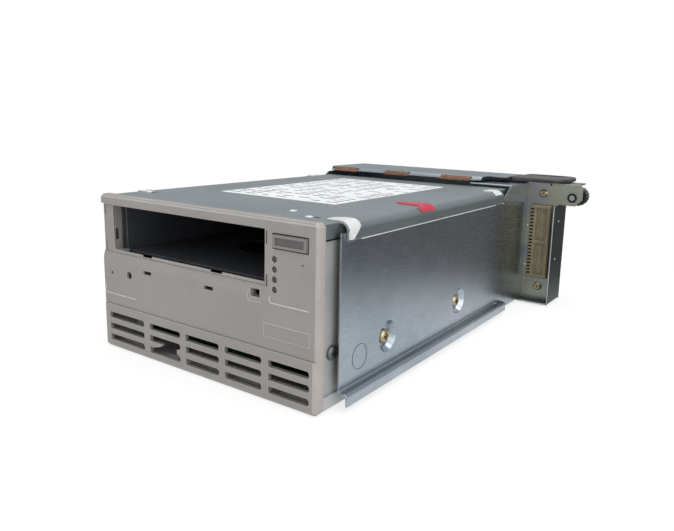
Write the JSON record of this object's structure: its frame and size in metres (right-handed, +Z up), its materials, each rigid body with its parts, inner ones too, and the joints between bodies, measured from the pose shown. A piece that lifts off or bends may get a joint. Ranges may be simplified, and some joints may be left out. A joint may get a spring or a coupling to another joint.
{
  "type": "tape drive",
  "caption": "Full-height data tape drive in a slide-in library tray, with an open cartridge mouth, a cartridge loader, tape reels, a lifting head, a rear fan and a blind-mate connector",
  "frame": {"origin": "centre of the four underside screw holes of the drive, on the casting's underside", "axes": "+X to the drive's right seen from its front, +Y from the bezel to the tray's rear, +Z up; the cartridge goes in along +Y and drops along -Z"},
  "size_m": [0.1967, 0.2713, 0.09],
  "materials": {
    "warm_grey_moulding": "fine moulded grain, matte",
    "charcoal_moulding": "satin",
    "black_moulding": "soft gloss",
    "natural_nylon": "satin",
    "red_film": "satin",
    "paper_label": "matte paper",
    "cast_alloy": "as cast",
    "machined_alloy": "machined",
    "zinc_sheet": "zinc plated sheet",
    "chromate_sheet": "yellow chromate sheet",
    "bright_steel": "ground",
    "black_screw": "black oxide",
    "yellow_zinc_screw": "yellow zinc plate",
    "copper_spring": "beryllium copper",
    "circuit_board": "solder mask",
    "beige_moulding": "glass filled"
  },
  "bodies": {
    "frame": {"bezel": "warm_grey_moulding", "panel_board": "circuit_board", "lamp_pipes": "natural_nylon", "chassis": "cast_alloy", "bottom_cover": "zinc_sheet", "top_cover": "zinc_sheet", "cover_clips": "natural_nylon", "red_tab": "red_film", "top_label": "paper_label", "main_board": "circuit_board", "board_chips": "black_moulding", "board_screws": "bright_steel", "data_connector": "black_moulding", "power_connector": "natural_nylon", "deck": "cast_alloy", "deck_screws": "bright_steel", "guide_posts": "bright_steel", "supply_motor": "bright_steel", "takeup_motor": "bright_steel", "roller_posts": "bright_steel", "head_frame": "machined_alloy", "head_motor": "bright_steel", "loader_bracket": "zinc_sheet", "loader_motor": "bright_steel", "right_side_plate": "zinc_sheet", "left_side_plate": "zinc_sheet", "rear_hood": "zinc_sheet", "emi_fingers": "copper_spring", "rear_floor": "zinc_sheet", "rear_panel": "zinc_sheet", "fan_frame": "black_moulding", "fan_screws": "black_screw", "pull_handle": "black_moulding", "handle_screws": "black_screw", "connector_box": "chromate_sheet", "connector_bracket": "chromate_sheet", "blind_connector": "beige_moulding", "contact_blades": "yellow_zinc_screw", "interface_board": "circuit_board", "board_posts": "bright_steel", "bracket_screws": "yellow_zinc_screw", "captive_sleeve": "black_screw", "side_screws": "yellow_zinc_screw", "cover_screws": "black_screw"},
    "button": {"eject_button": "warm_grey_moulding"},
    "supply_chuck": {"supply_chuck": "charcoal_moulding"},
    "takeup_reel": {"takeup_reel": "charcoal_moulding"},
    "guide_roller_1": {"guide_roller_1": "machined_alloy"},
    "guide_roller_2": {"guide_roller_2": "machined_alloy"},
    "guide_roller_3": {"guide_roller_3": "machined_alloy"},
    "guide_roller_4": {"guide_roller_4": "machined_alloy"},
    "head": {"head_block": "machined_alloy"},
    "head_screw": {"head_screw": "bright_steel"},
    "cam": {"cam_slide": "charcoal_moulding"},
    "carrier": {"cartridge_carrier": "zinc_sheet"},
    "loader_wheel": {"loader_wheel": "natural_nylon"},
    "loader_pinion": {"loader_pinion": "natural_nylon"},
    "fan": {"fan_rotor": "black_moulding"},
    "washer": {"captive_washer": "natural_nylon"},
    "screw": {"captive_screw": "bright_steel"}
  },
  "joints": [
    {"name": "eject_press", "type": "slide", "parent": "frame", "child": "button", "axis": [0, 1, 0], "range_m": [0, 0.0015], "stiffness_N_per_m": 400, "springref_m": -0.0005},
    {"name": "supply_spin", "type": "hinge", "parent": "frame", "child": "supply_chuck", "pos_m": [-0.00875, -0.02652, 0.0431], "axis": [0, 0, 1], "continuous": true},
    {"name": "takeup_spin", "type": "hinge", "parent": "frame", "child": "takeup_reel", "pos_m": [-0.00875, 0.06847, 0.0461], "axis": [0, 0, 1], "continuous": true},
    {"name": "roller_1_spin", "type": "hinge", "parent": "frame", "child": "guide_roller_1", "pos_m": [0.03, 0.03247, 0.0491], "axis": [0, 0, 1], "continuous": true},
    {"name": "roller_2_spin", "type": "hinge", "parent": "frame", "child": "guide_roller_2", "pos_m": [0.0515, 0.03497, 0.0491], "axis": [0, 0, 1], "continuous": true},
    {"name": "roller_3_spin", "type": "hinge", "parent": "frame", "child": "guide_roller_3", "pos_m": [0.0515, 0.07047, 0.0491], "axis": [0, 0, 1], "continuous": true},
    {"name": "roller_4_spin", "type": "hinge", "parent": "frame", "child": "guide_roller_4", "pos_m": [0.036, 0.08647, 0.0491], "axis": [0, 0, 1], "continuous": true},
    {"name": "head_lift", "type": "slide", "parent": "frame", "child": "head", "axis": [0, 0, 1], "range_m": [0, 0.006]},
    {"name": "head_screw_turn", "type": "hinge", "parent": "frame", "child": "head_screw", "pos_m": [0.061, 0.05248, 0.0531], "axis": [0, 0, 1], "range_deg": [0, 1080.05]},
    {"name": "cam_travel", "type": "slide", "parent": "frame", "child": "cam", "axis": [0, 1, 0], "range_m": [0, 0.014]},
    {"name": "carrier_drop", "type": "slide", "parent": "frame", "child": "carrier", "axis": [0, 0, -1], "range_m": [0, 0.01101]},
    {"name": "loader_wheel_turn", "type": "hinge", "parent": "frame", "child": "loader_wheel", "pos_m": [0.0485, -0.03252, 0.06925], "axis": [1, 0, 0], "range_deg": [0, 100.29]},
    {"name": "loader_pinion_turn", "type": "hinge", "parent": "frame", "child": "loader_pinion", "pos_m": [0.0485, -0.02053, 0.06925], "axis": [1, 0, 0], "range_deg": [-200.56, 0]},
    {"name": "fan_spin", "type": "hinge", "parent": "frame", "child": "fan", "pos_m": [-0.036, 0.15748, 0.0421], "axis": [0, 1, 0], "continuous": true},
    {"name": "captive_slide", "type": "slide", "parent": "frame", "child": "washer", "axis": [0, -1, 0], "range_m": [0, 0.005], "stiffness_N_per_m": 200, "springref_m": -0.002},
    {"name": "captive_turn", "type": "hinge", "parent": "washer", "child": "screw", "pos_m": [0.1082, 0.16248, 0.0757], "axis": [0, 1, 0], "continuous": true}
  ],
  "couplings": [
    {"joint": "head_screw_turn", "follows": "head_lift", "rad_per_m": 3141.6},
    {"joint": "carrier_drop", "follows": "cam_travel", "ratio": 0.78571},
    {"joint": "loader_wheel_turn", "follows": "cam_travel", "rad_per_m": 125},
    {"joint": "loader_pinion_turn", "follows": "cam_travel", "rad_per_m": -250}
  ]
}
